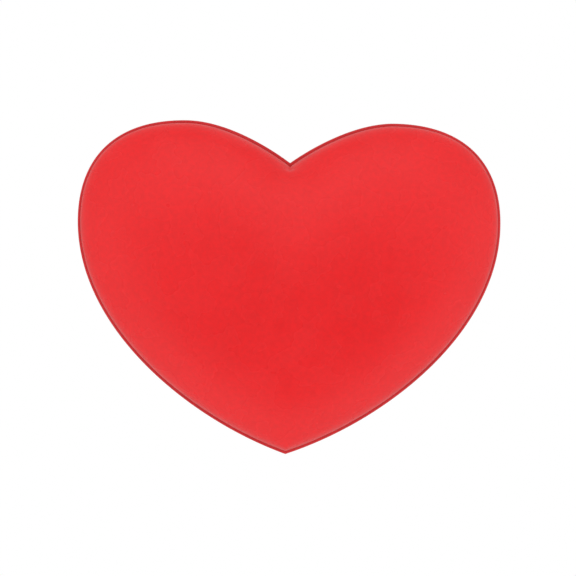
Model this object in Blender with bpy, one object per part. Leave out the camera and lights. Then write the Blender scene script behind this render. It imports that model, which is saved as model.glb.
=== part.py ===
"""Heart-shaped vibration dampener for a tennis racket, in metres, +Z up.

The heart stands upright with its face towards -Y. The origin is on the turning axis, in the middle
of the groove that the two centre strings press into. The string plug is gripped by the strings;
the heart, with its back plate, its soft core and its stud, turns on the plug about the Y axis.
"""
from math import atan2, cos, pi, radians, sin

import bmesh
import bpy
from mathutils import Vector

MM = 0.001

# ---- driving dimensions -------------------------------------------------------------------------
HEART_WIDTH = 35.0 * MM
HEART_HEIGHT = 27.5 * MM
AXIS_ABOVE_TIP = 16.0 * MM          # the turning axis sits just above the heart's centre of area
CLEFT_DEPTH = 3.4 * MM              # from the tops of the lobes down to the notch
WIDEST_ABOVE_TIP = 19.2 * MM
LOBE_SPACING = 17.2 * MM            # from the top of one lobe to the top of the other
TIP_RISE = radians(19.0)            # slope of the outline as it leaves the tip
CLEFT_RISE = radians(36.0)          # slope of the outline as it leaves the notch
TIP_HANDLE = 8.7 * MM               # lengths of the outline's handles, from the tip round to the notch
LOW_SIDE_HANDLE = 8.9 * MM
HIGH_SIDE_HANDLE = 5.0 * MM
LOBE_OUTER_HANDLE = 6.0 * MM
LOBE_INNER_HANDLE = 3.0 * MM
CLEFT_HANDLE = 2.7 * MM

GAP = 0.3 * MM                      # left between neighbouring pieces
GROOVE_WIDTH = 2.4 * MM             # takes strings of 1.3 mm
GROOVE_RADIUS = 4.7 * MM            # two strings 10 mm apart leave 8.7 mm, so they grip the rubber
FRONT_FLANGE_RADIUS = 6.8 * MM
FRONT_FLANGE_THICKNESS = 1.2 * MM
REAR_FLANGE_RADIUS = 7.5 * MM
REAR_FLANGE_THICKNESS = 3.2 * MM
REAR_FACE_RADIUS = 5.9 * MM         # flat end of the plug, inside its rounded lead-in
FLANGE_EDGE_ROUND = 0.4 * MM
GROOVE_CORNER_ROUND = 0.5 * MM

BACK_THICKNESS = 2.6 * MM
BACK_EDGE_ROUND = 1.4 * MM
LIP_HEIGHT = 1.0 * MM               # raised rim of the back plate that centres the cap
LIP_WIDTH = 1.0 * MM
CAP_SETBACK = 0.25 * MM             # the cap's edge is that far inside the back plate's edge
CAP_WALL = 1.8 * MM
CAP_SIDE = 0.4 * MM                 # straight side of the cap above the seam
DOME_HEIGHT = 5.2 * MM
DOME_FULLNESS = 2.3                 # 2 is an ellipse, more is a flatter top and a rounder shoulder
SUMMIT_BELOW_AXIS = 4.0 * MM        # the dome is highest below the fold that runs down from the notch

STUD_DISC_RADIUS = 4.5 * MM
STUD_DISC_THICKNESS = 1.0 * MM
STUD_STEM_RADIUS = 2.0 * MM
STUD_HEAD_RADIUS = 3.2 * MM
STUD_HEAD_THICKNESS = 1.1 * MM
STUD_HEAD_ROUND = 0.6 * MM
HEAD_CLEARANCE = 0.5 * MM           # round the stud's head in its recess
POCKET_DEPTH = 1.5 * MM             # in the front of the back plate, round the stud's disc
COUNTERBORE_DEPTH = 1.8 * MM        # in the rear face of the plug, round the stud's head

OUTLINE_STEPS = (9, 7, 5)           # points from tip to widest, to the lobe's top, to the notch
DOME_STEPS = 7
TURN_STEPS = 40
PLATE_EDGE_STEPS = 3
CORNER_STEPS = 3
LEAD_IN_STEPS = 6
SMOOTH_BELOW = radians(35.0)        # edges sharper than this stay crisp

# ---- places along Y, worked out from the dimensions above ------------------------------------------
FLANGE_FRONT_Y = -GROOVE_WIDTH / 2 - FRONT_FLANGE_THICKNESS
REAR_FACE_Y = GROOVE_WIDTH / 2 + REAR_FLANGE_THICKNESS
BACK_REAR_Y = FLANGE_FRONT_Y - GAP
BACK_FRONT_Y = BACK_REAR_Y - BACK_THICKNESS
CAP_SEAM_Y = BACK_FRONT_Y - GAP
DOME_BASE_Y = CAP_SEAM_Y - CAP_SIDE
INNER_DOME_HEIGHT = DOME_HEIGHT - CAP_WALL
POCKET_FLOOR_Y = BACK_FRONT_Y + POCKET_DEPTH
COUNTERBORE_FLOOR_Y = REAR_FACE_Y - COUNTERBORE_DEPTH
BORE_RADIUS = STUD_STEM_RADIUS + GAP
LIP_OUTSIDE = CAP_SETBACK + CAP_WALL + GAP
LIP_INSIDE = LIP_OUTSIDE + LIP_WIDTH


def clear_scene():
    for thing in list(bpy.data.objects):
        bpy.data.objects.remove(thing, do_unlink=True)


def make_material(name, colour, roughness, subsurface=0.0):
    material = bpy.data.materials.new(name)
    material.use_nodes = True
    shader = material.node_tree.nodes["Principled BSDF"]
    shader.inputs["Base Color"].default_value = (*colour, 1.0)
    shader.inputs["Roughness"].default_value = roughness
    shader.inputs["Metallic"].default_value = 0.0
    shader.inputs["Subsurface Weight"].default_value = subsurface
    return material


# ---- the heart's outline ---------------------------------------------------------------------------
def bezier_point(start, start_handle, end_handle, end, t):
    s = 1.0 - t
    return (s ** 3 * start + 3 * s * s * t * start_handle
            + 3 * s * t * t * end_handle + t ** 3 * end)


def half_outline():
    """Right half of the outline in X and Z, from the tip up to the notch, both ends included."""
    bottom = -AXIS_ABOVE_TIP
    top = bottom + HEART_HEIGHT
    tip = Vector((0.0, bottom))
    widest = Vector((HEART_WIDTH / 2, bottom + WIDEST_ABOVE_TIP))
    lobe = Vector((LOBE_SPACING / 2, top))
    notch = Vector((0.0, top - CLEFT_DEPTH))
    lower = (tip, tip + TIP_HANDLE * Vector((cos(TIP_RISE), sin(TIP_RISE))),
             widest - Vector((0.0, LOW_SIDE_HANDLE)), widest)
    shoulder = (widest, widest + Vector((0.0, HIGH_SIDE_HANDLE)),
                lobe + Vector((LOBE_OUTER_HANDLE, 0.0)), lobe)
    inner = (lobe, lobe - Vector((LOBE_INNER_HANDLE, 0.0)),
             notch + CLEFT_HANDLE * Vector((cos(CLEFT_RISE), sin(CLEFT_RISE))), notch)
    points = [tip]
    for stretch, steps in zip((lower, shoulder, inner), OUTLINE_STEPS):
        points += [bezier_point(*stretch, step / steps) for step in range(1, steps + 1)]
    return points


def heart_outline():
    """Whole outline, anticlockwise as seen from the front, from the tip and back to it."""
    right = half_outline()
    left = [Vector((-point.x, point.y)) for point in reversed(right[1:-1])]
    return right + left


def inset_outline(outline, distance):
    """The outline moved inwards by a distance, each corner along its mitre."""
    count = len(outline)
    moved = []
    for index, point in enumerate(outline):
        before = (point - outline[index - 1]).normalized()
        after = (outline[(index + 1) % count] - point).normalized()
        inward_before = Vector((-before.y, before.x))
        inward_after = Vector((-after.y, after.x))
        mitre = (inward_before + inward_after).normalized()
        moved.append(point + mitre * (distance / mitre.dot(inward_before)))
    return moved


def heart_ring(inset, y, scale=1.0):
    """The inset outline as a ring at y, shrunk towards the dome's summit by the scale."""
    summit_z = -SUMMIT_BELOW_AXIS
    return [Vector((point.x * scale, y, summit_z + (point.y - summit_z) * scale))
            for point in inset_outline(heart_outline(), inset)]


def round_ring(radius, y):
    """A circle with one point on each ray from the axis to a point of the heart's outline."""
    angles = [atan2(point.y, point.x) for point in heart_outline()]
    return [Vector((radius * cos(angle), y, radius * sin(angle))) for angle in angles]


def dome_rings(inset, height):
    """Rings of a puffed dome towards -Y, from the ring above its base up to the ring by its top."""
    rings = []
    for step in range(1, DOME_STEPS):
        angle = pi / 2 * step / DOME_STEPS
        scale = cos(angle) ** (2.0 / DOME_FULLNESS)
        rings.append(heart_ring(inset, DOME_BASE_Y - height * sin(angle), scale))
    return rings


def summit(y):
    return Vector((0.0, y, -SUMMIT_BELOW_AXIS))


# ---- meshes from rings and from turned profiles ------------------------------------------------------
def add_piece(name, mesh_builder, material):
    mesh = bpy.data.meshes.new(name)
    bmesh.ops.recalc_face_normals(mesh_builder, faces=mesh_builder.faces)
    mesh_builder.to_mesh(mesh)
    mesh_builder.free()
    mesh.shade_smooth()
    mesh.set_sharp_from_angle(angle=SMOOTH_BELOW)
    mesh.materials.append(material)
    piece = bpy.data.objects.new(name, mesh)
    bpy.context.scene.collection.objects.link(piece)
    return piece


def mesh_from_rings(rings, first_pole=None, last_pole=None):
    """Skin over rings of equal length; with no poles the last ring joins the first."""
    builder = bmesh.new()
    loops = [[builder.verts.new(point) for point in ring] for ring in rings]
    pairs = list(zip(loops, loops[1:]))
    if first_pole is None and last_pole is None:
        pairs.append((loops[-1], loops[0]))
    count = len(loops[0])
    for near, far in pairs:
        for index in range(count):
            following = (index + 1) % count
            builder.faces.new((near[index], near[following], far[following], far[index]))
    for pole, loop in ((first_pole, loops[0]), (last_pole, loops[-1])):
        if pole is not None:
            centre = builder.verts.new(pole)
            for index in range(count):
                builder.faces.new((centre, loop[index], loop[(index + 1) % count]))
    return builder


def mesh_from_profile(profile, closed):
    """Turn a profile of (radius, y) points about the Y axis; a closed one leaves a bore."""
    builder = bmesh.new()
    verts = [builder.verts.new((radius, y, 0.0)) for radius, y in profile]
    edges = [builder.edges.new(pair) for pair in zip(verts, verts[1:])]
    if closed:
        edges.append(builder.edges.new((verts[-1], verts[0])))
    bmesh.ops.spin(builder, geom=verts + edges, axis=(0.0, 1.0, 0.0), cent=(0.0, 0.0, 0.0),
                   angle=2 * pi, steps=TURN_STEPS, use_merge=True)
    bmesh.ops.remove_doubles(builder, verts=builder.verts, dist=0.001 * MM)
    return builder


def corner_arc(centre, radius, start_degrees, end_degrees):
    """Points of a round corner in (radius, y), its two ends included."""
    points = []
    for step in range(CORNER_STEPS + 1):
        angle = radians(start_degrees + (end_degrees - start_degrees) * step / CORNER_STEPS)
        points.append((centre[0] + radius * cos(angle), centre[1] + radius * sin(angle)))
    return points


# ---- the pieces ---------------------------------------------------------------------------------------
def build_heart_cap(material):
    """Puffed front shell of soft red silicone, open at the back."""
    outer, inner = CAP_SETBACK, CAP_SETBACK + CAP_WALL
    outside = [heart_ring(outer, CAP_SEAM_Y), heart_ring(outer, DOME_BASE_Y)]
    outside += dome_rings(outer, DOME_HEIGHT)
    inside = [heart_ring(inner, CAP_SEAM_Y), heart_ring(inner, DOME_BASE_Y)]
    inside += dome_rings(inner, INNER_DOME_HEIGHT)
    skin = mesh_from_rings(list(reversed(outside)) + inside,
                           first_pole=summit(DOME_BASE_Y - DOME_HEIGHT),
                           last_pole=summit(DOME_BASE_Y - INNER_DOME_HEIGHT))
    return add_piece("heart_cap", skin, material)


def build_damping_core(material):
    """Soft slug that fills the cap inside the lip of the back plate."""
    inset = LIP_INSIDE + GAP
    height = INNER_DOME_HEIGHT - GAP
    rings = [heart_ring(inset, CAP_SEAM_Y), heart_ring(inset, DOME_BASE_Y)]
    rings += dome_rings(inset, height)
    skin = mesh_from_rings(rings, first_pole=summit(CAP_SEAM_Y),
                           last_pole=summit(DOME_BASE_Y - height))
    return add_piece("damping_core", skin, material)


def build_heart_back(material):
    """Back plate with a rounded rear edge, a lip for the cap, and a pocket and bore for the stud."""
    pocket_radius = STUD_DISC_RADIUS + GAP
    lip_top_y = BACK_FRONT_Y - LIP_HEIGHT
    rings = [round_ring(BORE_RADIUS, BACK_REAR_Y)]
    for step in range(PLATE_EDGE_STEPS + 1):
        angle = pi / 2 * step / PLATE_EDGE_STEPS
        rings.append(heart_ring(BACK_EDGE_ROUND * (1 - sin(angle)),
                                BACK_REAR_Y - BACK_EDGE_ROUND * (1 - cos(angle))))
    rings += [heart_ring(0.0, BACK_FRONT_Y),
              heart_ring(LIP_OUTSIDE, BACK_FRONT_Y), heart_ring(LIP_OUTSIDE, lip_top_y),
              heart_ring(LIP_INSIDE, lip_top_y), heart_ring(LIP_INSIDE, BACK_FRONT_Y),
              round_ring(pocket_radius, BACK_FRONT_Y), round_ring(pocket_radius, POCKET_FLOOR_Y),
              round_ring(BORE_RADIUS, POCKET_FLOOR_Y)]
    return add_piece("heart_back", mesh_from_rings(rings), material)


def build_swivel_stud(material):
    """Stud on the axis: a disc held in the back plate, a stem, and a snap head in the plug."""
    disc_rear = POCKET_FLOOR_Y - GAP
    disc_front = disc_rear - STUD_DISC_THICKNESS
    head_front = COUNTERBORE_FLOOR_Y + GAP
    head_rear = head_front + STUD_HEAD_THICKNESS
    profile = [(0.0, disc_front), (STUD_DISC_RADIUS, disc_front), (STUD_DISC_RADIUS, disc_rear),
               (STUD_STEM_RADIUS, disc_rear), (STUD_STEM_RADIUS, head_front),
               (STUD_HEAD_RADIUS, head_front)]
    profile += corner_arc((STUD_HEAD_RADIUS - STUD_HEAD_ROUND, head_rear - STUD_HEAD_ROUND),
                          STUD_HEAD_ROUND, 0.0, 90.0)
    profile.append((0.0, head_rear))
    return add_piece("swivel_stud", mesh_from_profile(profile, closed=False), material)


def build_string_plug(material):
    """Rubber spool: front flange, string groove all round, rear flange with a rounded lead-in."""
    edge, corner = FLANGE_EDGE_ROUND, GROOVE_CORNER_ROUND
    counterbore_radius = STUD_HEAD_RADIUS + HEAD_CLEARANCE
    groove_front = -GROOVE_WIDTH / 2
    groove_rear = GROOVE_WIDTH / 2
    lead_depth = REAR_FACE_Y - groove_rear - edge
    lead_width = REAR_FLANGE_RADIUS - REAR_FACE_RADIUS
    profile = [(BORE_RADIUS, COUNTERBORE_FLOOR_Y), (BORE_RADIUS, FLANGE_FRONT_Y)]
    profile += corner_arc((FRONT_FLANGE_RADIUS - edge, FLANGE_FRONT_Y + edge), edge, -90.0, 0.0)
    profile += corner_arc((FRONT_FLANGE_RADIUS - edge, groove_front - edge), edge, 0.0, 90.0)
    profile += corner_arc((GROOVE_RADIUS + corner, groove_front + corner), corner, -90.0, -180.0)
    profile += corner_arc((GROOVE_RADIUS + corner, groove_rear - corner), corner, 180.0, 90.0)
    profile += corner_arc((REAR_FLANGE_RADIUS - edge, groove_rear + edge), edge, -90.0, 0.0)
    for step in range(1, LEAD_IN_STEPS + 1):
        angle = pi / 2 * step / LEAD_IN_STEPS
        profile.append((REAR_FACE_RADIUS + lead_width * cos(angle),
                        groove_rear + edge + lead_depth * sin(angle)))
    profile += [(counterbore_radius, REAR_FACE_Y), (counterbore_radius, COUNTERBORE_FLOOR_Y)]
    return add_piece("string_plug", mesh_from_profile(profile, closed=True), material)


def build_dampener():
    clear_scene()
    red_silicone = make_material("red_silicone", (0.80, 0.03, 0.03), 0.42, 0.15)
    red_silicone_back = make_material("red_silicone_back", (0.76, 0.03, 0.03), 0.55, 0.15)
    pink_gel = make_material("pink_gel", (0.85, 0.32, 0.30), 0.30, 0.40)
    white_nylon = make_material("white_nylon", (0.80, 0.78, 0.74), 0.40)
    plug_rubber = make_material("red_plug_rubber", (0.70, 0.03, 0.03), 0.55)

    string_plug = build_string_plug(plug_rubber)
    turning_axis = bpy.data.objects.new("turning_axis", None)
    bpy.context.scene.collection.objects.link(turning_axis)
    turning_axis.parent = string_plug
    for piece in (build_heart_cap(red_silicone), build_damping_core(pink_gel),
                  build_heart_back(red_silicone_back), build_swivel_stud(white_nylon)):
        piece.parent = turning_axis


build_dampener()
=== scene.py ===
import math

import bmesh
import bpy
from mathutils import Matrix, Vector, geometry


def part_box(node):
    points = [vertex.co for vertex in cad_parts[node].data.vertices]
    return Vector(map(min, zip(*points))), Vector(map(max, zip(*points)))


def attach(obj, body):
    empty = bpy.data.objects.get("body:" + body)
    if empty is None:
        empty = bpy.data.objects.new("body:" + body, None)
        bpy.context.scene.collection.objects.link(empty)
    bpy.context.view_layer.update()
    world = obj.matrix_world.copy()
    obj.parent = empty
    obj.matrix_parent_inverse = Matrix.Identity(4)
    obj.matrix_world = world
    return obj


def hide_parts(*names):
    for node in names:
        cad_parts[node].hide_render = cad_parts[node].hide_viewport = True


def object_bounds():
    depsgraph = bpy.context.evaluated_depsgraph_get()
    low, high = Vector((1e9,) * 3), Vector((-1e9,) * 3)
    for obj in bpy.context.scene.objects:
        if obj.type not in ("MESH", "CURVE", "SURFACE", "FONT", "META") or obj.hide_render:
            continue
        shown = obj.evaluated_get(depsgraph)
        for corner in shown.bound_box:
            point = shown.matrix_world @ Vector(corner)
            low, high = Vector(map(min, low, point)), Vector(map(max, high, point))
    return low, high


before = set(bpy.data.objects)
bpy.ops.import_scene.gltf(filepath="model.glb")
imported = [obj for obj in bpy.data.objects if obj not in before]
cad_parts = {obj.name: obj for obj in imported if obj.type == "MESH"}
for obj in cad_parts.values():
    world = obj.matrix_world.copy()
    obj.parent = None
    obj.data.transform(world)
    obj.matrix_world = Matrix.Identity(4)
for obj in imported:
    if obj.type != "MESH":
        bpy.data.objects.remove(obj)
cadLow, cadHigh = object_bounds()
mm = 0.001
sameSpot = 0.001 * mm           # points closer than this are one point
print("frame loaded")


# small helpers shared by every piece

def hexToLinear(code):
    channels = [int(code[place:place + 2], 16) / 255 for place in (1, 3, 5)]
    linear = [c / 12.92 if c <= 0.04045 else ((c + 0.055) / 1.055) ** 2.4 for c in channels]
    return (*linear, 1.0)


def addNode(tree, kind, inputs=None, **settings):
    # an input is either a plain value or the socket that feeds it
    node = tree.nodes.new(kind)
    for name, value in settings.items():
        setattr(node, name, value)
    for socket, value in (inputs or {}).items():
        if isinstance(value, bpy.types.NodeSocket):
            tree.links.new(value, node.inputs[socket])
        else:
            node.inputs[socket].default_value = value
    return node


def newObject(name, data):
    thing = bpy.data.objects.new(name, data)
    bpy.context.scene.collection.objects.link(thing)
    return thing


def freeze(thing, name):
    # what the modifiers make becomes a plain mesh on a new object at the origin
    bpy.context.view_layer.update()
    graph = bpy.context.evaluated_depsgraph_get()
    mesh = bpy.data.meshes.new_from_object(thing.evaluated_get(graph), depsgraph=graph)
    mesh.name = name
    bpy.data.objects.remove(thing)
    return newObject(name, mesh)


def smoothShade(thing, sharpDegrees):
    thing.data.shade_smooth()
    thing.data.set_sharp_from_angle(angle=math.radians(sharpDegrees))


def finishPiece(thing, body, node, material):
    thing.data.materials.clear()
    thing.data.materials.append(material)
    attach(thing, body)
    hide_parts(node)


# the heart's outline: four points with handles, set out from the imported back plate's box

capLow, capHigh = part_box("heart_cap")
backLow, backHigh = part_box("heart_back")
plugLow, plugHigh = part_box("string_plug")
studLow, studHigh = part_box("swivel_stud")
coreLow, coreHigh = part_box("damping_core")

outlineShape = {
    "widestAboveTip": 19.2 * mm,
    "cleftDepth": 3.4 * mm,
    "lobeOut": 8.6 * mm,        # from the middle to the top of a lobe
    "tipRise": 19.0,            # degrees
    "cleftRise": 36.0,
    "handles": (8.7 * mm, 8.9 * mm, 5.0 * mm, 6.0 * mm, 3.0 * mm, 2.7 * mm),  # tip round to cleft
    "stretchSteps": 200,
    "curvePoints": 480,
    "queueStep": 0.004 * mm,    # spacing of inset points that would cross beside the tip
}


def outlineStretches():
    # right half as three stretches of (start, handle, handle, end)
    shape = outlineShape
    tipOut, lowIn, highOut, lobeIn, lobeBack, cleftIn = shape["handles"]
    tip = Vector((0, 0, backLow.z))
    widest = Vector((backHigh.x, 0, backLow.z + shape["widestAboveTip"]))
    lobe = Vector((shape["lobeOut"], 0, backHigh.z))
    cleft = Vector((0, 0, backHigh.z - shape["cleftDepth"]))
    rise, fall = math.radians(shape["tipRise"]), math.radians(shape["cleftRise"])
    tipWay = Vector((math.cos(rise), 0, math.sin(rise)))
    cleftWay = Vector((math.cos(fall), 0, math.sin(fall)))
    up, right = Vector((0, 0, 1)), Vector((1, 0, 0))
    return ((tip, tip + tipWay * tipOut, widest - up * lowIn, widest),
            (widest, widest + up * highOut, lobe + right * lobeIn, lobe),
            (lobe, lobe - right * lobeBack, cleft + cleftWay * cleftIn, cleft))


def outlinePoints(count):
    # evenly spaced all the way round, from the tip by the right lobe, tip and cleft among them
    stretches = outlineStretches()
    dense = []
    for stretch in stretches:
        dense += geometry.interpolate_bezier(*stretch, outlineShape["stretchSteps"])[:-1]
    dense.append(stretches[-1][-1])
    lengths = [0.0]
    for near, far in zip(dense, dense[1:]):
        lengths.append(lengths[-1] + (far - near).length)
    half, place = [], 0
    for step in range(count // 2 + 1):
        wanted = lengths[-1] * step / (count // 2)
        while place < len(dense) - 2 and lengths[place + 1] < wanted:
            place += 1
        share = (wanted - lengths[place]) / (lengths[place + 1] - lengths[place])
        half.append(dense[place].lerp(dense[place + 1], min(share, 1.0)))
    return half + [Vector((-p.x, 0, p.z)) for p in reversed(half[1:-1])]


def insetPoints(points, distance):
    # moved inwards along each corner's mitre
    moved = []
    for index, point in enumerate(points):
        before = (point - points[index - 1]).normalized()
        after = (points[(index + 1) % len(points)] - point).normalized()
        inBefore, inAfter = Vector((-before.z, 0, before.x)), Vector((-after.z, 0, after.x))
        mitre = (inBefore + inAfter).normalized()
        moved.append(point + mitre * (distance / mitre.dot(inBefore)))
    # beside the tip they would cross the middle, so there they queue up next to it
    for step in range(1, len(points) // 12):
        least = step * outlineShape["queueStep"]
        for index, side in ((step, 1), (-step, -1)):
            if moved[index].x * side < least:
                moved[index] = Vector((side * least, 0, moved[0].z))
    return moved


def outlineCurve(name, y=0.0, inset=0.0):
    # the outline as a closed curve, which node trees take as their input
    points = insetPoints(outlinePoints(outlineShape["curvePoints"]), inset)
    curve = bpy.data.curves.new(name, "CURVE")
    curve.dimensions = "3D"
    spline = curve.splines.new("POLY")
    spline.points.add(len(points) - 1)
    for knot, point in zip(spline.points, points):
        knot.co = (point.x, y, point.z, 1.0)
    spline.use_cyclic_u = True
    return newObject(name, curve)


# node trees for shapes

def newShapeTree(name, sockets):
    tree = bpy.data.node_groups.new(name, "GeometryNodeTree")
    tree.interface.new_socket("Geometry", in_out="INPUT", socket_type="NodeSocketGeometry")
    for label, kind in sockets.items():
        tree.interface.new_socket(label, in_out="INPUT", socket_type="NodeSocket" + kind)
    tree.interface.new_socket("Geometry", in_out="OUTPUT", socket_type="NodeSocketGeometry")
    return tree, addNode(tree, "NodeGroupInput").outputs


def grow(thing, tree, values):
    # the tree goes on as a modifier, its inputs set by identifier before the first evaluation
    modifier = thing.modifiers.new(tree.name, "NODES")
    modifier.node_group = tree
    for item in tree.interface.items_tree:
        if item.in_out == "INPUT" and item.name in values:
            modifier[item.identifier] = values[item.name]


def puffedHeartTree():
    # a grid wrapped round the outline: its rows run from the seam over the shoulder to the summit
    tree, given = newShapeTree("puffedHeart", {
        "Around": "Int", "Rows": "Int", "Summit Up": "Float", "Base Y": "Float",
        "Dome Height": "Float", "Fullness": "Float", "Side": "Float", "Side Share": "Float",
        "Lip Curl": "Float", "Half Width": "Float", "Softening": "Int", "Fold Width": "Float",
        "Material": "Material"})
    grid = addNode(tree, "GeometryNodeMeshGrid", {
        "Size X": 1.0, "Size Y": 1.0, "Vertices X": given["Around"], "Vertices Y": given["Rows"]})
    place = addNode(tree, "ShaderNodeSeparateXYZ", {
        0: addNode(tree, "GeometryNodeInputPosition").outputs[0]})
    around = addNode(tree, "ShaderNodeMath", {0: place.outputs["X"], 1: 0.5}, operation="ADD")
    row = addNode(tree, "ShaderNodeMath", {0: place.outputs["Y"], 1: 0.5}, operation="ADD")
    rim = addNode(tree, "GeometryNodeSampleCurve", {
        "Curves": given["Geometry"], "Factor": around.outputs[0]}, mode="FACTOR",
        use_all_curves=True)

    # the dome: scale falls as a cosine's power while the depth grows as its sine
    angle = addNode(tree, "ShaderNodeMapRange", {
        "Value": row.outputs[0], "From Min": given["Side Share"], "From Max": 1.0,
        "To Min": 0.0, "To Max": math.pi / 2})
    cosine = addNode(tree, "ShaderNodeMath", {0: angle.outputs[0]}, operation="COSINE")
    cosine = addNode(tree, "ShaderNodeMath", {0: cosine.outputs[0], 1: 0.0}, operation="MAXIMUM")
    power = addNode(tree, "ShaderNodeMath", {0: 2.0, 1: given["Fullness"]}, operation="DIVIDE")
    scale = addNode(tree, "ShaderNodeMath", {0: cosine.outputs[0], 1: power.outputs[0]},
                    operation="POWER")
    sine = addNode(tree, "ShaderNodeMath", {0: angle.outputs[0]}, operation="SINE")
    depth = addNode(tree, "ShaderNodeMath", {0: sine.outputs[0], 1: given["Dome Height"]},
                    operation="MULTIPLY")

    # the short side below it, whose last part curls in to the seam as a quarter circle
    down = addNode(tree, "ShaderNodeMapRange", {
        "Value": row.outputs[0], "From Min": 0.0, "From Max": given["Side Share"],
        "To Min": 1.0, "To Max": 0.0})
    sideY = addNode(tree, "ShaderNodeMath", {0: down.outputs[0], 1: given["Side"]},
                    operation="MULTIPLY")
    curlStart = addNode(tree, "ShaderNodeMath", {0: given["Side"], 1: given["Lip Curl"]},
                        operation="SUBTRACT")
    curled = addNode(tree, "ShaderNodeMapRange", {
        "Value": sideY.outputs[0], "From Min": curlStart.outputs[0], "From Max": given["Side"],
        "To Min": 0.0, "To Max": 1.0})
    square = addNode(tree, "ShaderNodeMath", {0: curled.outputs[0], 1: 2.0}, operation="POWER")
    rest = addNode(tree, "ShaderNodeMath", {0: 1.0, 1: square.outputs[0]}, operation="SUBTRACT")
    root = addNode(tree, "ShaderNodeMath", {0: rest.outputs[0]}, operation="SQRT")
    bend = addNode(tree, "ShaderNodeMath", {0: 1.0, 1: root.outputs[0]}, operation="SUBTRACT")
    curlScale = addNode(tree, "ShaderNodeMath", {0: given["Lip Curl"], 1: given["Half Width"]},
                        operation="DIVIDE")
    pullIn = addNode(tree, "ShaderNodeMath", {0: bend.outputs[0], 1: curlScale.outputs[0]},
                     operation="MULTIPLY")
    reach = addNode(tree, "ShaderNodeMath", {0: scale.outputs[0], 1: pullIn.outputs[0]},
                    operation="SUBTRACT")

    # out from the summit's axis to the rim by that reach, and back or forward in Y
    summit = addNode(tree, "ShaderNodeCombineXYZ", {"Z": given["Summit Up"]})
    spoke = addNode(tree, "ShaderNodeVectorMath", {0: rim.outputs["Position"],
                                                   1: summit.outputs[0]}, operation="SUBTRACT")
    spoke = addNode(tree, "ShaderNodeVectorMath", {0: spoke.outputs[0],
                                                   "Scale": reach.outputs[0]}, operation="SCALE")
    spot = addNode(tree, "ShaderNodeVectorMath", {0: spoke.outputs[0], 1: summit.outputs[0]},
                   operation="ADD")
    spot = addNode(tree, "ShaderNodeSeparateXYZ", {0: spot.outputs[0]})
    backY = addNode(tree, "ShaderNodeMath", {0: given["Base Y"], 1: sideY.outputs[0]},
                    operation="ADD")
    surfaceY = addNode(tree, "ShaderNodeMath", {0: backY.outputs[0], 1: depth.outputs[0]},
                       operation="SUBTRACT")
    target = addNode(tree, "ShaderNodeCombineXYZ", {
        "X": spot.outputs["X"], "Y": surfaceY.outputs[0], "Z": spot.outputs["Z"]})
    kept = addNode(tree, "GeometryNodeStoreNamedAttribute", {
        "Geometry": grid.outputs["Mesh"], "Name": "towardRim", "Value": scale.outputs[0]},
        data_type="FLOAT", domain="POINT")
    wrapped = addNode(tree, "GeometryNodeSetPosition", {
        "Geometry": kept.outputs[0], "Position": target.outputs[0]})
    closed = addNode(tree, "GeometryNodeMergeByDistance", {
        "Geometry": wrapped.outputs[0], "Distance": sameSpot * 2})

    # the fold that runs down from the cleft is softened, and the rim is left alone
    toRim = addNode(tree, "GeometryNodeInputNamedAttribute", {"Name": "towardRim"},
                    data_type="FLOAT")
    hold = addNode(tree, "ShaderNodeMapRange", {
        "Value": toRim.outputs["Attribute"], "From Min": 0.97, "From Max": 0.6,
        "To Min": 0.0, "To Max": 1.0}, interpolation_type="SMOOTHSTEP")
    across = addNode(tree, "ShaderNodeSeparateXYZ", {
        0: addNode(tree, "GeometryNodeInputPosition").outputs[0]})
    across = addNode(tree, "ShaderNodeMath", {0: across.outputs["X"]}, operation="ABSOLUTE")
    narrow = addNode(tree, "ShaderNodeMapRange", {
        "Value": across.outputs[0], "From Min": 0.0, "From Max": given["Fold Width"],
        "To Min": hold.outputs[0], "To Max": 0.0}, interpolation_type="SMOOTHSTEP")
    softened = addNode(tree, "GeometryNodeBlurAttribute", {
        "Value": addNode(tree, "GeometryNodeInputPosition").outputs[0],
        "Iterations": given["Softening"], "Weight": narrow.outputs[0]}, data_type="FLOAT_VECTOR")
    eased = addNode(tree, "GeometryNodeSetPosition", {
        "Geometry": closed.outputs[0], "Position": softened.outputs[0]})
    real = addNode(tree, "GeometryNodeRealizeInstances", {0: eased.outputs[0]})
    coated = addNode(tree, "GeometryNodeSetMaterial", {
        "Geometry": real.outputs[0], "Material": given["Material"]})
    addNode(tree, "NodeGroupOutput", {"Geometry": coated.outputs[0]})
    return tree


# materials

redSilicone = {
    # pigmented silicone rubber from a satin mould: solid red, soft gloss, a faint milky bloom
    "base": "#EA1C20",
    "deep": "#E81A1E",
    "pale": "#EC1E22",
    "roughness": (0.24, 0.3),
    "cloud": 7.0 * mm,          # slow drift of the pigment
    "grain": 0.35 * mm,         # blasted mould texture, drawn coarser than real so that it shows
    "peel": 2.2 * mm,           # shallow waviness left as the silicone shrinks
    "grainDepth": 0.05,
    "peelDepth": 0.06,
    "subsurface": 0.12,
    "subsurfaceReach": 0.9 * mm,
    "sheen": 0.02,
}

# the back plate's red is darker than the cap's, partly as its own deeper tone and partly as
# painted shade, so that its edge round the cap reads as the shaded seam between the parts
backSiliconeWithSeamShade = dict(redSilicone, base="#CC1A1F", deep="#C4161B", pale="#D32025",
                    roughness=(0.5, 0.62), grain=0.5 * mm, grainDepth=0.16, sheen=0.08)

plugRubber = dict(redSilicone, base="#C4171C", deep="#B81217", pale="#CE1E23",
                  roughness=(0.46, 0.6), grain=0.4 * mm, grainDepth=0.12, sheen=0.08)


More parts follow.
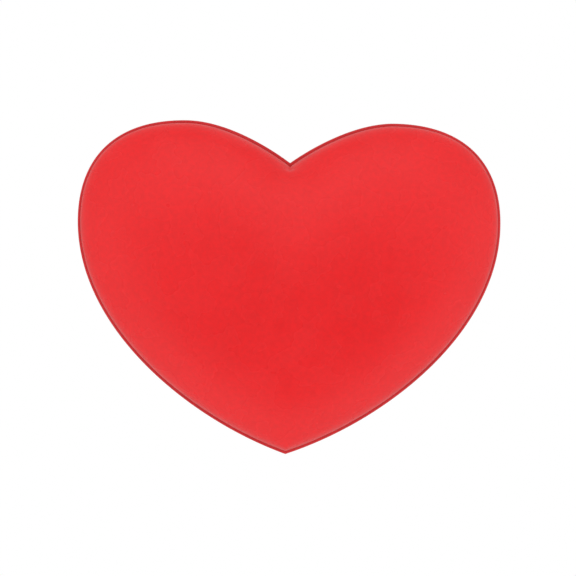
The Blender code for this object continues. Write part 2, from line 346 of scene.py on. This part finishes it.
def siliconeMaterial(name, look):
    material = bpy.data.materials.new(name)
    material.use_nodes = True
    tree = material.node_tree
    shader = tree.nodes["Principled BSDF"]
    where = addNode(tree, "ShaderNodeTexCoord").outputs["Object"]
    cloud = addNode(tree, "ShaderNodeTexNoise", {
        "Vector": where, "Scale": 1 / look["cloud"], "Detail": 3.0, "Roughness": 0.5})
    grain = addNode(tree, "ShaderNodeTexNoise", {
        "Vector": where, "Scale": 1 / look["grain"], "Detail": 4.0, "Roughness": 0.6})
    peel = addNode(tree, "ShaderNodeTexNoise", {
        "Vector": where, "Scale": 1 / look["peel"], "Detail": 2.0, "Roughness": 0.45})
    colours = addNode(tree, "ShaderNodeValToRGB", {"Fac": cloud.outputs[0]})
    ramp = colours.color_ramp
    ramp.elements[0].position, ramp.elements[0].color = 0.3, hexToLinear(look["deep"])
    ramp.elements[1].position, ramp.elements[1].color = 0.7, hexToLinear(look["pale"])
    ramp.elements.new(0.5).color = hexToLinear(look["base"])
    speckle = addNode(tree, "ShaderNodeMapRange", {
        "Value": grain.outputs[0], "From Min": 0.35, "From Max": 0.65,
        "To Min": 0.95, "To Max": 1.04})
    tinted = addNode(tree, "ShaderNodeHueSaturation", {
        "Color": colours.outputs[0], "Value": speckle.outputs[0]})
    low, high = look["roughness"]
    matt = addNode(tree, "ShaderNodeMapRange", {
        "Value": peel.outputs[0], "From Min": 0.3, "From Max": 0.7,
        "To Min": low, "To Max": high})
    waves = addNode(tree, "ShaderNodeBump", {
        "Height": peel.outputs[0], "Strength": look["peelDepth"], "Distance": 0.4 * mm})
    rough = addNode(tree, "ShaderNodeBump", {
        "Height": grain.outputs[0], "Strength": look["grainDepth"], "Distance": 0.1 * mm,
        "Normal": waves.outputs[0]})
    tree.links.new(tinted.outputs[0], shader.inputs["Base Color"])
    tree.links.new(matt.outputs[0], shader.inputs["Roughness"])
    tree.links.new(rough.outputs[0], shader.inputs["Normal"])
    shader.inputs["IOR"].default_value = 1.41
    shader.inputs["Subsurface Weight"].default_value = look["subsurface"]
    shader.inputs["Subsurface Radius"].default_value = (1.0, 0.25, 0.2)
    shader.inputs["Subsurface Scale"].default_value = look["subsurfaceReach"]
    shader.inputs["Sheen Weight"].default_value = look["sheen"]
    shader.inputs["Sheen Roughness"].default_value = 0.5
    return material


naturalNylon = {
    # injection moulded nylon 6, undyed: waxy off-white with a slightly cloudy depth
    "base": "#E9E4D6",
    "shade": "#DCD5C3",
    "roughness": (0.32, 0.48),
    "flow": 1.6 * mm,
    "grain": 0.2 * mm,
}


def nylonMaterial(name, look):
    material = bpy.data.materials.new(name)
    material.use_nodes = True
    tree = material.node_tree
    shader = tree.nodes["Principled BSDF"]
    where = addNode(tree, "ShaderNodeTexCoord").outputs["Object"]
    flow = addNode(tree, "ShaderNodeTexNoise", {
        "Vector": where, "Scale": 1 / look["flow"], "Detail": 3.0, "Distortion": 0.6})
    grain = addNode(tree, "ShaderNodeTexNoise", {
        "Vector": where, "Scale": 1 / look["grain"], "Detail": 3.0})
    colours = addNode(tree, "ShaderNodeValToRGB", {"Fac": flow.outputs[0]})
    ramp = colours.color_ramp
    ramp.elements[0].position, ramp.elements[0].color = 0.35, hexToLinear(look["shade"])
    ramp.elements[1].position, ramp.elements[1].color = 0.65, hexToLinear(look["base"])
    low, high = look["roughness"]
    matt = addNode(tree, "ShaderNodeMapRange", {
        "Value": flow.outputs[0], "From Min": 0.3, "From Max": 0.7, "To Min": low,
        "To Max": high})
    rough = addNode(tree, "ShaderNodeBump", {
        "Height": grain.outputs[0], "Strength": 0.12, "Distance": 0.05 * mm})
    tree.links.new(colours.outputs[0], shader.inputs["Base Color"])
    tree.links.new(matt.outputs[0], shader.inputs["Roughness"])
    tree.links.new(rough.outputs[0], shader.inputs["Normal"])
    shader.inputs["IOR"].default_value = 1.53
    shader.inputs["Subsurface Weight"].default_value = 0.3
    shader.inputs["Subsurface Radius"].default_value = (1.0, 0.9, 0.75)
    shader.inputs["Subsurface Scale"].default_value = 0.5 * mm
    return material


softGel = {
    # low-hardness silicone gel: translucent pink, glossy, with a few cloudy streaks
    "base": "#E88E86",
    "shade": "#D9746C",
    "roughness": (0.12, 0.25),
    "flow": 3.0 * mm,
    "grain": 0.6 * mm,
}


def gelMaterial(name, look):
    material = nylonMaterial(name, look)
    shader = material.node_tree.nodes["Principled BSDF"]
    shader.inputs["IOR"].default_value = 1.41
    shader.inputs["Subsurface Weight"].default_value = 0.8
    shader.inputs["Subsurface Scale"].default_value = 2.0 * mm
    shader.inputs["Transmission Weight"].default_value = 0.25
    return material


capRed = siliconeMaterial("satin red silicone", redSilicone)
backRedWithSeamShade = siliconeMaterial("matt red silicone with painted seam shade", backSiliconeWithSeamShade)
plugRed = siliconeMaterial("matt red rubber", plugRubber)
studWhite = nylonMaterial("natural nylon", naturalNylon)
corePink = gelMaterial("soft pink gel", softGel)
print("materials made")


# skins made from rings of points

def skinRings(name, rings, closed=True):
    # one quad strip between each two rings; a closed skin joins the last ring to the first
    builder = bmesh.new()
    loops = [[builder.verts.new(point) for point in ring] for ring in rings]
    pairs = list(zip(loops, loops[1:]))
    if closed:
        pairs.append((loops[-1], loops[0]))
    for near, far in pairs:
        for index in range(len(near)):
            following = (index + 1) % len(near)
            builder.faces.new((near[index], near[following], far[following], far[index]))
    bmesh.ops.recalc_face_normals(builder, faces=builder.faces)
    mesh = bpy.data.meshes.new(name)
    builder.to_mesh(mesh)
    builder.free()
    return newObject(name, mesh)


def atY(points, y):
    return [Vector((p.x, y, p.z)) for p in points]


def circleUnder(points, radius, y):
    # a circle with one point on each spoke from the axis to an outline point
    return [Vector((p.x, 0, p.z)).normalized() * radius + Vector((0, y, 0)) for p in points]


def cornerArc(centre, radius, startDegrees, endDegrees, steps):
    points = []
    for step in range(steps + 1):
        angle = math.radians(startDegrees + (endDegrees - startDegrees) * step / steps)
        points.append((centre[0] + radius * math.cos(angle),
                       centre[1] + radius * math.sin(angle)))
    return points


def turned(name, profile, closed, steps):
    # a profile of (radius, y) points turned about the Y axis
    builder = bmesh.new()
    verts = [builder.verts.new((radius, y, 0)) for radius, y in profile]
    edges = [builder.edges.new(pair) for pair in zip(verts, verts[1:])]
    if closed:
        edges.append(builder.edges.new((verts[-1], verts[0])))
    bmesh.ops.spin(builder, geom=verts + edges, axis=(0, 1, 0), cent=(0, 0, 0),
                   angle=math.tau, steps=steps, use_merge=True)
    bmesh.ops.remove_doubles(builder, verts=builder.verts, dist=sameSpot)
    bmesh.ops.recalc_face_normals(builder, faces=builder.faces)
    mesh = bpy.data.meshes.new(name)
    builder.to_mesh(mesh)
    builder.free()
    return newObject(name, mesh)


# heart cap

cap = {
    "around": 361,
    "rows": 74,
    # that fine line is dark through the plate's darker red, which is partly painted seam shade
    "setback": 0.3 * mm,       # the plate's edge shows as a fine line round the cap
    "summitUp": -4.0 * mm,
    "side": 0.6 * mm,
    "sideShare": 0.12,
    "lipCurl": 0.22 * mm,
    "fullness": 2.25,
    "softening": 160,
    "foldWidth": 9.0 * mm,
    "sharpDegrees": 50,
    "wall": 1.8 * mm,
    "seamGap": 0.04 * mm,
}


def makeHeartCap():
    seamY = backLow.y + back["lipHeight"]    # the plate's lip stands that far into the cap
    baseY = seamY - cap["seamGap"] - cap["side"]
    guide = outlineCurve("capOutline", 0.0, cap["setback"])
    grow(guide, puffedHeartTree(), {
        "Around": cap["around"], "Rows": cap["rows"], "Summit Up": cap["summitUp"],
        "Base Y": baseY, "Dome Height": baseY - capLow.y, "Fullness": cap["fullness"],
        "Side": cap["side"], "Side Share": cap["sideShare"], "Lip Curl": cap["lipCurl"],
        "Half Width": capHigh.x, "Softening": cap["softening"], "Fold Width": cap["foldWidth"],
        "Material": capRed})
    skin = freeze(guide, "heartCapSkin")
    wall = skin.modifiers.new("wall", "SOLIDIFY")
    wall.thickness = cap["wall"]
    wall.offset = -1
    skin = freeze(skin, "heartCapSkin")
    smoothShade(skin, cap["sharpDegrees"])
    finishPiece(skin, "heart", "heart_cap", capRed)
    return skin


# heart back

back = {
    "around": 360,
    "edgeRound": 1.4 * mm,
    "lipCurl": 0.22 * mm,
    "lipInset": 2.7 * mm,        # clears the cap's inner wall, which leans in towards the front
    "lipWidth": 0.65 * mm,
    "lipHeight": 1.0 * mm,
    "boreRadius": 2.3 * mm,
    "mouthRound": 0.15 * mm,
    "pocketRadius": 4.8 * mm,
    "pocketDepth": 1.5 * mm,
    "faceSteps": 24,
    "edgeSteps": 12,
    "curlSteps": 6,
    "sharpDegrees": 35,
}


def makeHeartBack():
    rim = outlinePoints(back["around"])
    rearY, frontY = backHigh.y, backLow.y + back["lipHeight"]
    mouth, mouthRadius = back["mouthRound"], back["boreRadius"] + back["mouthRound"]
    rings = [circleUnder(rim, back["boreRadius"], frontY + back["pocketDepth"]),
             circleUnder(rim, back["boreRadius"], rearY - mouth)]
    for radius, y in cornerArc((mouthRadius, rearY - mouth), mouth, 180, 90, 3)[1:]:
        rings.append(circleUnder(rim, radius, y))
    inner = circleUnder(rim, mouthRadius, rearY)
    outer = atY(insetPoints(rim, back["edgeRound"]), rearY)
    for step in range(1, back["faceSteps"]):
        rings.append([a.lerp(b, step / back["faceSteps"]) for a, b in zip(inner, outer)])
    for step in range(back["edgeSteps"] + 1):
        angle = math.pi / 2 * step / back["edgeSteps"]
        rings.append(atY(insetPoints(rim, back["edgeRound"] * (1 - math.sin(angle))),
                         rearY - back["edgeRound"] * (1 - math.cos(angle))))
    for step in range(back["curlSteps"] + 1):
        angle = math.pi / 2 * step / back["curlSteps"]
        rings.append(atY(insetPoints(rim, back["lipCurl"] * (1 - math.cos(angle))),
                         frontY + back["lipCurl"] * (1 - math.sin(angle))))
    lipIn = back["lipInset"] + back["lipWidth"]
    for inset, y in ((back["lipInset"], frontY), (back["lipInset"], backLow.y),
                     (lipIn, backLow.y), (lipIn, frontY)):
        rings.append(atY(insetPoints(rim, inset), y))
    rings.append(circleUnder(rim, back["pocketRadius"], frontY))
    rings.append(circleUnder(rim, back["pocketRadius"], frontY + back["pocketDepth"]))
    plate = skinRings("heartBackSkin", rings)
    smoothShade(plate, back["sharpDegrees"])
    finishPiece(plate, "heart", "heart_back", backRedWithSeamShade)
    return plate


# damping core

core = {
    "around": 180,
    "inset": 3.65 * mm,
    "edgeRound": 0.5 * mm,
    "edgeShrink": 0.04,         # the share by which the rear edge draws in to the summit
    "edgeSteps": 4,
    "domeSteps": 25,
    "sharpDegrees": 50,
}


def makeDampingCore():
    rim = insetPoints(outlinePoints(core["around"]), core["inset"])
    summit = Vector((0, 0, cap["summitUp"]))       # the same axis as the cap's dome
    height = coreHigh.y - coreLow.y
    rings = []
    for step in range(core["edgeSteps"] + 1):
        angle = math.pi / 2 * step / core["edgeSteps"]
        rings.append(atY([summit.lerp(p, 1 - core["edgeShrink"] * (1 - math.sin(angle)))
                          for p in rim],
                         coreHigh.y - core["edgeRound"] * (1 - math.cos(angle))))
    for step in range(1, core["domeSteps"]):
        angle = math.pi / 2 * step / core["domeSteps"]
        rings.append(atY([summit.lerp(p, math.cos(angle)) for p in rim],
                         coreHigh.y - core["edgeRound"]
                         - (height - core["edgeRound"]) * math.sin(angle)))
    slug = skinRings("dampingCoreSkin", rings, closed=False)
    builder = bmesh.new()
    builder.from_mesh(slug.data)
    bmesh.ops.holes_fill(builder, edges=[edge for edge in builder.edges if edge.is_boundary])
    bmesh.ops.recalc_face_normals(builder, faces=builder.faces)
    builder.to_mesh(slug.data)
    builder.free()
    smoothShade(slug, core["sharpDegrees"])
    finishPiece(slug, "heart", "damping_core", corePink)
    return slug


# swivel stud

stud = {
    "stemRadius": 2.0 * mm,
    "headRadius": 3.2 * mm,
    "headThick": 1.1 * mm,
    "discThick": 1.0 * mm,
    "edgeRound": 0.15 * mm,
    "headRound": 0.6 * mm,
    "slotWide": 0.8 * mm,
    "slotDeep": 2.2 * mm,
    "around": 96,
    "sharpDegrees": 35,
}


def makeSwivelStud():
    small, big = stud["edgeRound"], stud["headRound"]
    discRadius = studHigh.x
    discRear = studLow.y + stud["discThick"]
    headFront = studHigh.y - stud["headThick"]
    profile = [(0.0, studLow.y)]
    profile += cornerArc((discRadius - small, studLow.y + small), small, -90, 0, 4)
    profile += cornerArc((discRadius - small, discRear - small), small, 0, 90, 4)
    profile += cornerArc((stud["stemRadius"] + small, discRear + small), small, -90, -180, 4)
    profile += [(stud["stemRadius"], headFront)]
    profile += cornerArc((stud["headRadius"] - small, headFront + small), small, -90, 0, 4)
    profile += cornerArc((stud["headRadius"] - big, studHigh.y - big), big, 0, 90, 8)
    profile.append((0.0, studHigh.y))
    peg = turned("swivelStudSkin", profile, closed=False, steps=stud["around"])
    bpy.ops.mesh.primitive_cube_add(size=1)
    slot = bpy.context.active_object
    slot.scale = (stud["slotWide"], stud["slotDeep"] * 2, stud["headRadius"] * 3)
    slot.location = (0, studHigh.y, 0)
    cut = peg.modifiers.new("snap slot", "BOOLEAN")
    cut.operation = "DIFFERENCE"
    cut.object = slot
    peg = freeze(peg, "swivelStudSkin")
    bpy.data.objects.remove(slot)
    smoothShade(peg, stud["sharpDegrees"])
    finishPiece(peg, "heart", "swivel_stud", studWhite)
    return peg


# string plug

plug = {
    "grooveWide": 2.4 * mm,
    "grooveRadius": 4.7 * mm,
    "grooveRound": 0.7 * mm,
    "frontRadius": 6.8 * mm,
    "flangeRound": 0.5 * mm,
    "rearFaceRadius": 5.9 * mm,
    "boreRadius": 2.3 * mm,
    "counterRadius": 3.7 * mm,
    "counterDepth": 1.8 * mm,
    "mouthRound": 0.2 * mm,
    "leadSteps": 18,
    "around": 144,
    "sharpDegrees": 35,
}


def makeStringPlug():
    rearRadius = plugHigh.x
    rearY, frontY = plugHigh.y, plugLow.y
    half, flat = plug["grooveWide"] / 2, plug["flangeRound"]
    small, fillet = plug["mouthRound"], plug["grooveRound"]
    counterFloor = rearY - plug["counterDepth"]
    profile = [(plug["boreRadius"], counterFloor), (plug["boreRadius"], frontY + small)]
    profile += cornerArc((plug["boreRadius"] + small, frontY + small), small, -180, -90, 4)
    profile += cornerArc((plug["frontRadius"] - flat, frontY + flat), flat, -90, 0, 8)
    profile += cornerArc((plug["frontRadius"] - flat, -half - flat), flat, 0, 90, 8)
    profile += cornerArc((plug["grooveRadius"] + fillet, -half + fillet), fillet, -90, -180, 10)
    profile += cornerArc((plug["grooveRadius"] + fillet, half - fillet), fillet, 180, 90, 10)
    profile += cornerArc((rearRadius - flat, half + flat), flat, -90, 0, 8)
    leadDeep = rearY - half - flat
    leadWide = rearRadius - plug["rearFaceRadius"]
    for step in range(1, plug["leadSteps"] + 1):
        angle = math.pi / 2 * step / plug["leadSteps"]
        profile.append((plug["rearFaceRadius"] + leadWide * math.cos(angle),
                        half + flat + leadDeep * math.sin(angle)))
    profile += cornerArc((plug["counterRadius"] + small, rearY - small), small, 90, 180, 4)
    profile.append((plug["counterRadius"], counterFloor))
    spool = turned("stringPlugSkin", profile, closed=True, steps=plug["around"])
    smoothShade(spool, plug["sharpDegrees"])
    finishPiece(spool, "plug", "string_plug", plugRed)
    return spool


makeHeartCap()
print("heart cap made")
makeHeartBack()
makeDampingCore()
print("back plate and core made")
makeSwivelStud()
makeStringPlug()
print("stud and plug made")


# camera, lights and floor

studio = {
    "lens": 135.0,
    "roll": -0.95,              # degrees
    "fill": 0.76,               # the heart's share of the picture's width
    "floorDrop": 120 * mm,
    "floorBack": 220 * mm,
    "floorRadius": 330 * mm,
    "paper": "#FCFCFC",
    "paperGlow": 0.03,          # lifts the floor to the white of the background
    "keyPower": 0.03,
    "keySize": 0.22,
    "keySpot": (0.0, -0.16, 0.26),
    "fillBright": 1.03,
    "dimCentre": (0.05, -0.95, -0.27),
    "dimSqueeze": (1.0, 1.0, 1.15),
    # brightness against distance from that direction, 0 to 2 across a sphere of radius 1
    "falloff": ((0.3, 0.0), (0.6, 0.3), (0.9, 0.85), (1.15, 0.85), (1.6, 0.35)),
}


def makeCamera():
    camera = bpy.data.cameras.new("camera")
    camera.lens = studio["lens"]
    camera.sensor_width = 36.0
    thing = newObject("camera", camera)
    wide = cadHigh.x - cadLow.x
    distance = wide / studio["fill"] / 2 / math.tan(camera.angle / 2)
    middle = (cadLow + cadHigh) / 2
    thing.location = (middle.x, capLow.y - distance, middle.z)
    thing.rotation_euler = (math.radians(90), math.radians(studio["roll"]), 0)
    camera.clip_start = 0.01
    camera.clip_end = 10.0
    bpy.context.scene.camera = thing


def makeLights():
    world = bpy.data.worlds.new("studio")
    bpy.context.scene.world = world
    world.use_nodes = True
    tree = world.node_tree
    soft = tree.nodes["Background"]
    # a white room that is dimmer low in front, where the camera and its stand would be
    way = addNode(tree, "ShaderNodeTexCoord").outputs["Generated"]
    shifted = addNode(tree, "ShaderNodeVectorMath", {0: way, 1: studio["dimCentre"]},
                      operation="SUBTRACT")
    squeezed = addNode(tree, "ShaderNodeVectorMath", {0: shifted.outputs[0],
                                                      1: studio["dimSqueeze"]},
                       operation="MULTIPLY")
    apart = addNode(tree, "ShaderNodeVectorMath", {0: squeezed.outputs[0]}, operation="LENGTH")
    share = addNode(tree, "ShaderNodeMath", {0: apart.outputs["Value"], 1: 2.0},
                    operation="DIVIDE")
    bright = addNode(tree, "ShaderNodeValToRGB", {"Fac": share.outputs[0]})
    stops = bright.color_ramp.elements
    while len(stops) < len(studio["falloff"]):
        stops.new(0.5)
    for stop, (distance, level) in zip(stops, studio["falloff"]):
        stop.position, stop.color = distance / 2, (level, level, level, 1.0)
    bright.color_ramp.interpolation = "B_SPLINE"
    path = addNode(tree, "ShaderNodeLightPath")
    # only reflections see the dim part; what lights the matt colour comes evenly from all round
    level = addNode(tree, "ShaderNodeMix", {
        "Factor": path.outputs["Is Glossy Ray"], "A": studio["fillBright"],
        "B": bright.outputs[0]})
    tree.links.new(level.outputs[0], soft.inputs["Strength"])
    soft.inputs["Color"].default_value = (1.0, 1.0, 1.0, 1.0)
    seen = addNode(tree, "ShaderNodeBackground", {"Color": (1.0, 1.0, 1.0, 1.0),
                                                  "Strength": 1.0})
    mixed = addNode(tree, "ShaderNodeMixShader", {
        0: path.outputs["Is Camera Ray"], 1: soft.outputs[0], 2: seen.outputs[0]})
    tree.links.new(mixed.outputs[0], tree.nodes["World Output"].inputs["Surface"])
    lamp = bpy.data.lights.new("key", "AREA")
    lamp.energy = studio["keyPower"]
    lamp.size = studio["keySize"]
    key = newObject("key", lamp)
    key.location = studio["keySpot"]
    key.rotation_euler = (-Vector(studio["keySpot"])).to_track_quat("-Z", "Y").to_euler()


def makeFloor():
    bpy.ops.mesh.primitive_circle_add(vertices=96, radius=studio["floorRadius"],
                                      fill_type="NGON",
                                      location=(0, studio["floorBack"],
                                                cadLow.z - studio["floorDrop"]))
    floor = bpy.context.active_object
    floor.name = "floor"
    material = bpy.data.materials.new("floor paper")
    material.use_nodes = True
    shader = material.node_tree.nodes["Principled BSDF"]
    shader.inputs["Base Color"].default_value = hexToLinear(studio["paper"])
    shader.inputs["Roughness"].default_value = 0.9
    shader.inputs["Emission Color"].default_value = (1.0, 1.0, 1.0, 1.0)
    shader.inputs["Emission Strength"].default_value = studio["paperGlow"]
    floor.data.materials.append(material)
    floor.visible_glossy = False       # so that the room's own gradient reads on the silicone


makeCamera()
makeLights()
makeFloor()
bpy.context.scene.view_settings.view_transform = "Standard"
print("studio made")
